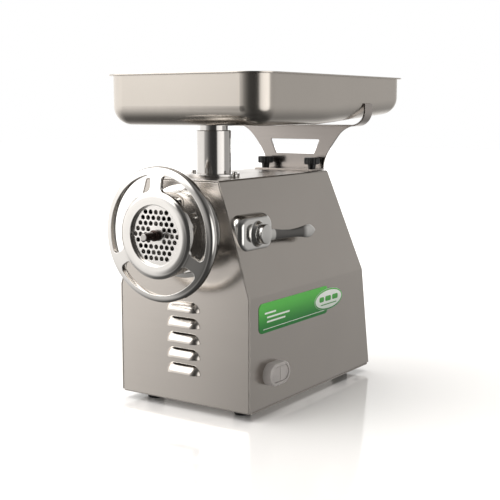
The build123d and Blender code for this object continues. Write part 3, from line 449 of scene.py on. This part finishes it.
# The housing's right slope: where it starts, and how far it leans in over its rise.
SIDE_X, SLOPE_Z, SLOPE_RISE, SLOPE_RUN = 120.0, 181.5, 165.0, 53.0
SLOPE_FOOT = Vector((SIDE_X, 0.0, SLOPE_Z)) * MM
SLOPE_OUT = Vector((SLOPE_RISE, 0.0, SLOPE_RUN)).normalized()
BLOCK_ROOT_X = 60                        # the block starts here, inside the housing, and is cut at the slope
BLOCK_WIDTH, BLOCK_HEIGHT, BLOCK_CORNER = 86, 56, 17
ROUND_X, ROUND_DEPTH, ROUND_INSET = 86, 15.5, 8.5    # its soft front edge: start, depth and width
CORNER_LOSS = 0.6                        # how much of the inset the corners' radius loses
BOSS = [(96, 19.6), (101.2, 19.6), (102.4, 18.3), (104.4, 17.0), (107.0, 16.0), (108.0, 15.2), (108.2, 14.2)]
ROUND_STEPS = 64


def latch_disc(name, rings):
    """Turned form about the latch's axis, through rings given as (x, radius)."""
    return loft(name, [[(x, LATCH[0] + y, LATCH[1] + z) for y, z in circle(radius, ROUND_STEPS)]
                       for x, radius in rings])


def latch_block():
    """Chromed block with large soft edges and a round boss, cut to the slope it sits on."""
    loops = []
    rounding = [(ROUND_X + ROUND_DEPTH * sin(radians(t)), ROUND_INSET * (1 - cos(radians(t))))
                for t in range(0, 91, 9)]
    for x, inset in [(BLOCK_ROOT_X, 0)] + rounding:
        outline = rounded_rectangle(BLOCK_WIDTH - 2 * inset, BLOCK_HEIGHT - 2 * inset,
                                    BLOCK_CORNER - CORNER_LOSS * inset)
        loops.append([(x, LATCH[0] + y, LATCH[1] + z) for y, z in outline])
    form = bmesh.new()
    form.from_mesh(joined("latch_whole", [loft("latch_body", loops), latch_disc("latch_boss", BOSS)]))
    geometry = form.verts[:] + form.edges[:] + form.faces[:]
    cut = bmesh.ops.bisect_plane(form, geom=geometry, plane_co=SLOPE_FOOT, plane_no=SLOPE_OUT,
                                 clear_inner=True)
    rim = [item for item in cut["geom_cut"] if isinstance(item, bmesh.types.BMEdge)]
    bmesh.ops.edgeloop_fill(form, edges=rim)
    bmesh.ops.recalc_face_normals(form, faces=form.faces[:])
    mesh = bpy.data.meshes.new("latch_housing")
    form.to_mesh(mesh)
    form.free()
    mesh_piece("latch_housing", mesh, "housing", "chromed", SLOT_MATERIALS["chromed"], "latch_block")


latch_block()


def lever_metal(colour, dark, reflection_from, reflection_to):
    """Forged lever: satin hub and paddle, and between two places along Y a smoother arm with a dark
    reflection painted into its colour.
    """
    wear, fade_in, fade_out = 0.0008, 0.003, 0.012
    material, tree, shader, place = new_material("forged_lever_painted_reflection")
    haze = tree.noise(place, 22.0, 4.0, 0.6)
    along = tree.add("ShaderNodeSeparateXYZ", {"Vector": place}).outputs["Y"]
    rise = tree.add("ShaderNodeMapRange", {"Value": along, "From Min": reflection_from,
                                           "From Max": reflection_from + fade_in})
    fall = tree.add("ShaderNodeMapRange", {"Value": along, "From Min": reflection_to + fade_out,
                                           "From Max": reflection_to})
    arm = tree.maths("MULTIPLY", rise.outputs[0], fall.outputs[0])
    satin = tree.ramp(haze, [(0.25, shade(colour, 0.92)), (0.75, shade(colour, 1.05))])
    # painted reflection: along the arm's stretch the colour turns dark, as if the arm mirrored dark
    # surroundings
    body = tree.mix(arm, satin, dark)
    rough = tree.maths("SUBTRACT", 0.2, tree.maths("MULTIPLY", arm, 0.12))
    rounded, _ = edges_of(tree, wear)
    bump = tree.bump(haze, 0.00003, 0.5, rounded)
    link(tree, shader, {"Base Color": body, "Metallic": 1.0, "Roughness": rough, "Normal": bump})
    return material


# The lever's arm: (distance behind the latch's axis, upper edge, lower edge).
ARM = [(4, 8.4, -11.4), (16, 6.6, -11.2), (30, 4.5, -11.0), (48, 1.9, -11.4), (67, 0.3, -12.0),
       (80, 0.2, -12.7), (92, 0.6, -13.6), (104, 1.6, -15.0), (114, 2.6, -16.9), (123, 3.1, -17.9),
       (130, 1.8, -16.8), (135, -1.0, -14.0), (138, -4.2, -10.2), (138.8, -6.6, -7.6)]
ARM_STEPS = 32
ARM_SET_BACK, ARM_THINNER = 0.3, 1.0     # the arm's middle and half thickness against the hub's
ARM_REFLECTION_FROM, ARM_REFLECTION_TO = 24, 104     # the smoother stretch with a painted dark reflection, behind the latch's axis


def latch_lever():
    """Round hub and a crowned arm that ends in a thumb paddle."""
    low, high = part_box("latch_lever")
    inner, outer = low[0] / MM, high[0] / MM
    middle, half = (inner + outer) / 2 - ARM_SET_BACK, (outer - inner) / 2 - ARM_THINNER
    loops = []
    for along, top, bottom in ARM:
        centre, reach = (top + bottom) / 2, (top - bottom) / 2
        loops.append([(middle + half * cos(turn), LATCH[0] + along, LATCH[1] + centre + reach * sin(turn))
                      for turn in (2 * pi * step / ARM_STEPS for step in range(ARM_STEPS))])
    hub = [(inner, 13.0), (inner + 0.5, 14.0), (inner + 1.4, 14.4), (outer - 1.6, 14.4),
           (outer - 0.5, 13.9), (outer, 12.6)]
    mesh = joined("latch_lever_forging", [loft("arm", loops), latch_disc("hub", hub)])
    # the second colour is the painted dark reflection on the arm
    metal = lever_metal(rgb(0.66, 0.65, 0.63), rgb(0.13, 0.125, 0.12),
                        (LATCH[0] + ARM_REFLECTION_FROM) * MM, (LATCH[0] + ARM_REFLECTION_TO) * MM)
    mesh_piece("latch_lever_forging", mesh, "latch", "chromed", metal, "latch_lever")


latch_lever()

# ---- print on the label ----
plate_low, plate_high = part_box("label_plate")
badge_low, badge_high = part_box("label_badge")
FILM = 0.12                              # thickness of a printed mark
SUNK = 0.02                              # how far a mark starts inside its label
# Dashes and a line under them: distance of the middle from the label's front end, height on it, length.
DASHES = [(30, 6.5, 30), (52, 0.0, 62), (46, -6.5, 50)]
DASH_HEIGHT, DASH_CORNER = 2.6, 1.2
LINE_AT, LINE_UP, LINE_LENGTH = 99, -16.5, 176
LINE_HEIGHT, LINE_CORNER = 0.9, 0.4
# Three plain shapes on the badge, each with its distance from the badge's middle and its length.
SHAPES = [(-22, 14), (-2, 18), (20, 18)]
SHAPE_UP, SHAPE_HEIGHT, SHAPE_CORNER = 1.5, 8.0, 2.6
RING_OUTER, RING_INNER = (43.6, 16.7), (41.2, 14.4)
BAR_UP, BAR_LENGTH, BAR_HEIGHT, BAR_CORNER = -7.5, 50, 1.6, 0.7


def side_mark(outline, y, z, x):
    """Thin flat mark on the housing's right side."""
    return loft("mark", [[(x + depth, y + u, z + v) for u, v in outline] for depth in (0, FILM)])


def ring_mark(outer, inner, y, z, x):
    """Thin flat ring between two outlines of equally many points."""
    loops = []
    for outline, depth in ((outer, 0), (outer, FILM), (inner, FILM), (inner, 0)):
        loops.append([(x + depth, y + u, z + v) for u, v in outline])
    return loft("ring_mark", loops, cyclic=True)


def ellipse(half_width, half_height, steps=72):
    """Outline about the origin."""
    turns = [2 * pi * step / steps for step in range(steps)]
    return [(half_width * cos(turn), half_height * sin(turn)) for turn in turns]


def label_marks():
    """Generic print: a line and dashes on the green film, and plain shapes on the white badge."""
    x, front = plate_high[0] / MM - SUNK, plate_low[1] / MM
    middle = (plate_low[2] + plate_high[2]) / 2 / MM
    dashes = [side_mark(rounded_rectangle(length, DASH_HEIGHT, DASH_CORNER, 4), front + at, middle + up, x)
              for at, up, length in DASHES]
    line = rounded_rectangle(LINE_LENGTH, LINE_HEIGHT, LINE_CORNER, 4)
    dashes.append(side_mark(line, front + LINE_AT, middle + LINE_UP, x))
    mesh_piece("label_dashes", joined("label_dashes", dashes), "housing", "label_white", LABEL_INK)
    x, y = badge_high[0] / MM - SUNK, (badge_low[1] + badge_high[1]) / 2 / MM
    shapes = [ring_mark(ellipse(*RING_OUTER), ellipse(*RING_INNER), y, middle, x)]
    for at, length in SHAPES:
        outline = rounded_rectangle(length, SHAPE_HEIGHT, SHAPE_CORNER, 5)
        shapes.append(side_mark(outline, y + at, middle + SHAPE_UP, x))
    bar = rounded_rectangle(BAR_LENGTH, BAR_HEIGHT, BAR_CORNER, 4)
    shapes.append(side_mark(bar, y, middle + BAR_UP, x))
    mesh_piece("badge_marks", joined("badge_marks", shapes), "housing", "label_green",
               SLOT_MATERIALS["label_green"])


label_marks()


# ---- studio ----
LIGHT_STRENGTH = 1.35
UPPER_LEFT_STRENGTH = 2.0


def world_light():
    """Surroundings of a product studio: pale walls, a dark camera side and a dim ceiling."""
    world = bpy.data.worlds.new("studio")
    bpy.context.scene.world = world
    world.use_nodes = True
    tree = Tree(world.node_tree)
    direction = tree.add("ShaderNodeTexCoord").outputs["Generated"]

    def along(vector):
        """0 in the direction against the vector, 1 in its own."""
        node = tree.add("ShaderNodeVectorMath", {0: direction, 1: vector}, operation="DOT_PRODUCT")
        return tree.maths("ADD", tree.maths("MULTIPLY", node.outputs["Value"], 0.5), 0.5)

    facing = tree.ramp(along((0.559, -0.829, 0.0)), [
        (0.0, 1.0), (0.5, 1.0), (0.66, 0.95), (0.74, 0.6), (0.828, 0.3), (0.905, 0.14), (0.96, 0.06),
        (1.0, 0.04)])
    sideways = tree.ramp(along((0.829, 0.559, 0.0)), [
        (0.0, 1.05), (0.63, 1.0), (0.8, 0.5), (1.0, 0.42)], smooth=True)
    upward = tree.ramp(along((0.0, 0.0, 1.0)), [
        (0.0, 0.03), (0.12, 0.1), (0.25, 0.42), (0.36, 0.78), (0.43, 0.94), (0.48, 1.0), (0.62, 1.0),
        (0.78, 0.4), (1.0, 0.1)])
    right_wall = tree.ramp(along((0.994, -0.105, 0.0)), [
        (0.0, 0.0), (0.93, 0.0), (0.975, 1.0), (1.0, 1.1)], smooth=True)
    upper_left = tree.ramp(along((-0.55, -0.53, 0.64)), [
        (0.0, 0.0), (0.89, 0.0), (0.96, 1.0), (1.0, 1.0)], smooth=True)
    dark_card = tree.ramp(along((-0.391, -0.878, -0.276)), [
        (0.0, 1.0), (0.978, 1.0), (0.995, 0.3), (1.0, 0.3)], smooth=True)
    strength = tree.maths("MULTIPLY", tree.maths("MULTIPLY", facing, sideways), upward)
    strength = tree.maths("MULTIPLY", strength, dark_card)
    strength = tree.maths("ADD", strength, right_wall)
    strength = tree.maths("ADD", strength, tree.maths("MULTIPLY", upper_left, UPPER_LEFT_STRENGTH))
    strength = tree.maths("MULTIPLY", strength, LIGHT_STRENGTH)
    studio = tree.add("ShaderNodeBackground", {"Color": rgb(*WARM_WHITE), "Strength": strength})
    backdrop = tree.add("ShaderNodeBackground", {"Color": rgb(1.0, 1.0, 1.0), "Strength": 1.0})
    seen = tree.add("ShaderNodeLightPath").outputs["Is Camera Ray"]
    mixed = tree.add("ShaderNodeMixShader", {0: seen, 1: studio.outputs[0], 2: backdrop.outputs[0]})
    tree.add("ShaderNodeOutputWorld", {"Surface": mixed.outputs[0]})


def soft_box(name, place, aim, size, power):
    """Large soft lamp that the metal doesn't mirror."""
    light = bpy.data.lights.new(name, "AREA")
    light.shape = "RECTANGLE"
    light.size, light.size_y = size
    light.energy = power
    light.color = WARM_WHITE
    box = bpy.data.objects.new(name, light)
    bpy.context.scene.collection.objects.link(box)
    box.location = place
    box.rotation_euler = (Vector(aim) - Vector(place)).to_track_quat("-Z", "Y").to_euler()
    box.visible_glossy = False


FLOOR_HALF = 9
FADE_FROM, FADE_TO, FADE_GLOW = 0.7, 1.7, 0.4        # the floor's glow grows between these distances


def floor():
    """A pale glossy floor that fades to white with distance and stays out of the metal's reflections."""
    material, tree, shader, place = new_material("pale_floor")
    cloud = tree.noise(place, 1.2, 2.0)
    body = tree.ramp(cloud, [(0.3, rgb(0.87, 0.86, 0.85)), (0.7, rgb(0.9, 0.89, 0.88))])
    rough = tree.maths("ADD", 0.05, tree.maths("MULTIPLY", tree.noise(place, 3.0), 0.08))
    distance = tree.add("ShaderNodeVectorMath", {0: place}, operation="LENGTH").outputs["Value"]
    glow = tree.add("ShaderNodeMapRange", {"Value": distance, "From Min": FADE_FROM, "From Max": FADE_TO,
                                           "To Max": FADE_GLOW})
    link(tree, shader, {"Base Color": body, "Roughness": rough, "Specular IOR Level": 0.5,
                        "Emission Color": rgb(1.0, 0.99, 0.98), "Emission Strength": glow.outputs[0]})
    mesh = bpy.data.meshes.new("floor")
    corners = [(FLOOR_HALF * x, FLOOR_HALF * y, 0) for x, y in ((-1, -1), (1, -1), (1, 1), (-1, 1))]
    mesh.from_pydata(corners, [], [(0, 1, 2, 3)])
    mesh.materials.append(material)
    sheet = bpy.data.objects.new("floor", mesh)
    bpy.context.scene.collection.objects.link(sheet)
    sheet.visible_glossy = False


world_light()
floor()
soft_box("overhead_box", (-0.5, 0.6, 2.6), (-0.5, 0.6, 0), (4.0, 4.0), 90)

# ---- camera, solved from the corners of the housing as the photo shows them ----
CAMERA_PLACE = (0.9099, -1.3462, 0.4492)
CAMERA_DOWN, CAMERA_ROUND = 7.96, 34.07              # degrees below level, and round from the front
LENS, SENSOR = 73.17, 36
camera = bpy.data.objects.new("camera", bpy.data.cameras.new("camera"))
bpy.context.scene.collection.objects.link(camera)
camera.location = CAMERA_PLACE
camera.rotation_euler = (radians(90 - CAMERA_DOWN), 0, radians(CAMERA_ROUND))
camera.data.lens = LENS
camera.data.sensor_width = SENSOR
bpy.context.scene.camera = camera
bpy.context.scene.view_settings.view_transform = "Standard"
